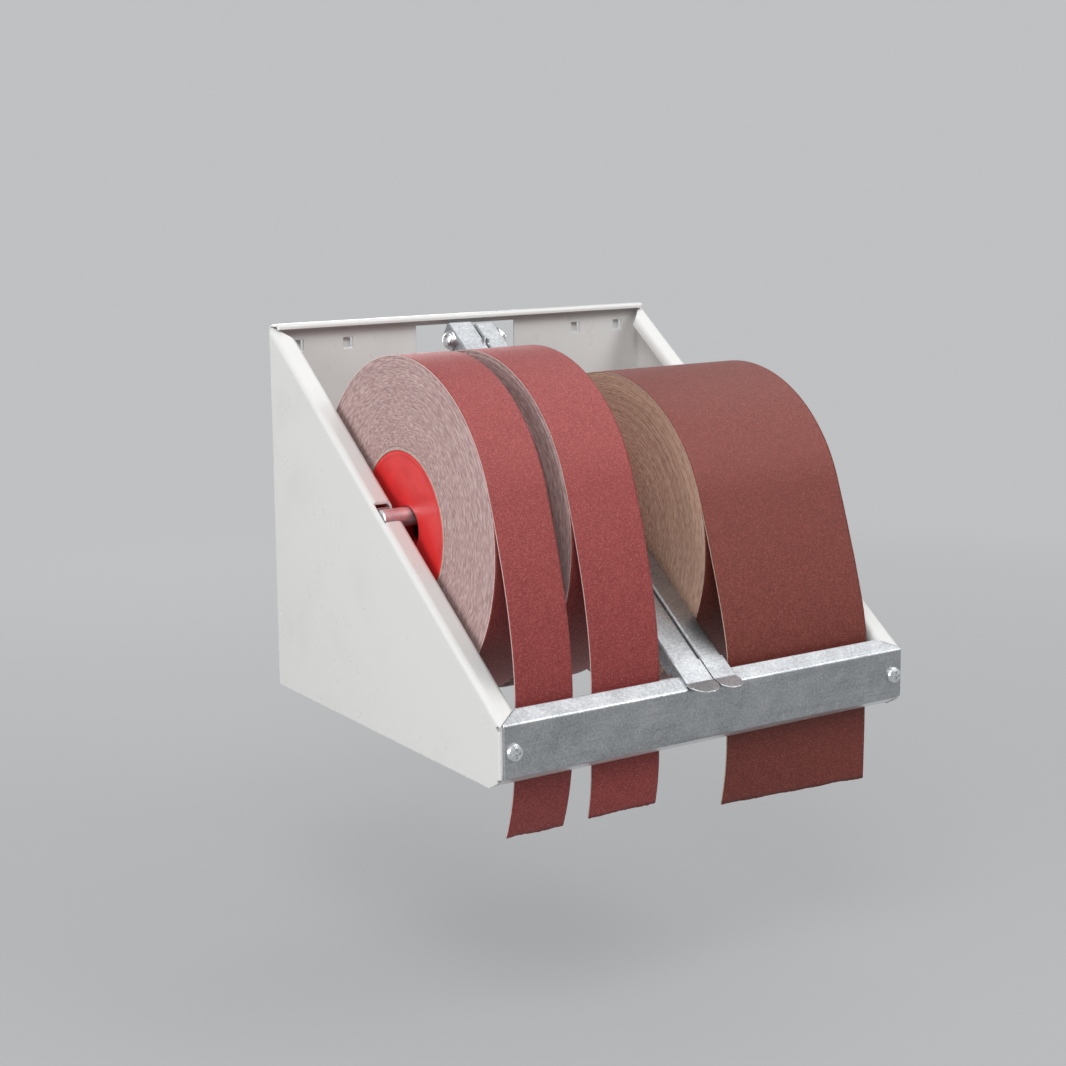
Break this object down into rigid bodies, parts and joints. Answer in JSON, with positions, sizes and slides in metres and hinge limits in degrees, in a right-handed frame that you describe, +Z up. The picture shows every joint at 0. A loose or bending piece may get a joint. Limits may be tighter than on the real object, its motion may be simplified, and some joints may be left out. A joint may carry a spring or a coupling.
{
  "type": "sandpaper roll holder",
  "caption": "Wall-panel holder of folded sheet metal for rolls of abrasive paper, with a lift-out axle, a front tear bar and a sliding centre rail.",
  "frame": {"origin": "middle of the back's rear face, which lies against the perforated panel", "axes": "+Z up, +Y into the panel, so the tear bar at the front looks along -Y; +X to the right seen from the front"},
  "size_m": [0.31, 0.3031, 0.2939],
  "materials": {
    "paint": "satin",
    "zinc": "satin",
    "bright_zinc": "satin",
    "hub_red": "satin",
    "card": "matte",
    "abrasive_red": "matte",
    "abrasive_brown": "matte"
  },
  "bodies": {
    "frame": {"folded_body": "paint", "axle_cradle_left": "zinc", "axle_cradle_right": "zinc", "tear_bar": "zinc", "tear_bar_screws": "bright_zinc", "tear_bar_nuts": "bright_zinc"},
    "rail": {"rail_left": "zinc", "rail_right": "zinc", "rail_cross_screw": "bright_zinc", "rail_cross_washers": "bright_zinc", "rail_cross_nut": "bright_zinc", "rail_spacer_tube": "zinc"},
    "axle": {"axle_rod": "bright_zinc", "roll_1_strip_span": "abrasive_red", "roll_2_strip_span": "abrasive_red", "roll_3_strip_span": "abrasive_brown"},
    "roll_1": {"roll_1_hub_left": "hub_red", "roll_1_hub_right": "hub_red", "roll_1_core": "card", "roll_1_winding": "abrasive_red"},
    "strip_1": {"roll_1_strip_end": "abrasive_red"},
    "roll_2": {"roll_2_hub_left": "hub_red", "roll_2_hub_right": "hub_red", "roll_2_core": "card", "roll_2_winding": "abrasive_red"},
    "strip_2": {"roll_2_strip_end": "abrasive_red"},
    "roll_3": {"roll_3_core": "card", "roll_3_winding": "abrasive_brown"},
    "strip_3": {"roll_3_strip_end": "abrasive_brown"}
  },
  "joints": [
    {"name": "axle_lift", "type": "slide", "parent": "frame", "child": "axle", "axis": [0, 0, 1], "range_m": [0, 0.15]},
    {"name": "rail_slide", "type": "slide", "parent": "frame", "child": "rail", "axis": [1, 0, 0], "range_m": [-0.011, 0.0025]},
    {"name": "roll_1_spin", "type": "hinge", "parent": "axle", "child": "roll_1", "pos_m": [-0.1165, -0.148, 0.0058], "axis": [1, 0, 0], "range_deg": [0, 55]},
    {"name": "strip_1_feed", "type": "slide", "parent": "axle", "child": "strip_1", "axis": [0, 0, -1], "range_m": [0, 0.106]},
    {"name": "roll_2_spin", "type": "hinge", "parent": "axle", "child": "roll_2", "pos_m": [-0.058, -0.148, 0.0058], "axis": [1, 0, 0], "range_deg": [0, 55]},
    {"name": "strip_2_feed", "type": "slide", "parent": "axle", "child": "strip_2", "axis": [0, 0, -1], "range_m": [0, 0.106]},
    {"name": "roll_3_spin", "type": "hinge", "parent": "axle", "child": "roll_3", "pos_m": [0.0775, -0.148, -0.0122], "axis": [1, 0, 0], "range_deg": [0, 55]},
    {"name": "strip_3_feed", "type": "slide", "parent": "axle", "child": "strip_3", "axis": [0, 0, -1], "range_m": [0, 0.106]}
  ],
  "couplings": [
    {"joint": "strip_1_feed", "follows": "roll_1_spin", "m_per_rad": 0.11},
    {"joint": "strip_2_feed", "follows": "roll_2_spin", "m_per_rad": 0.11},
    {"joint": "strip_3_feed", "follows": "roll_3_spin", "m_per_rad": 0.107}
  ]
}
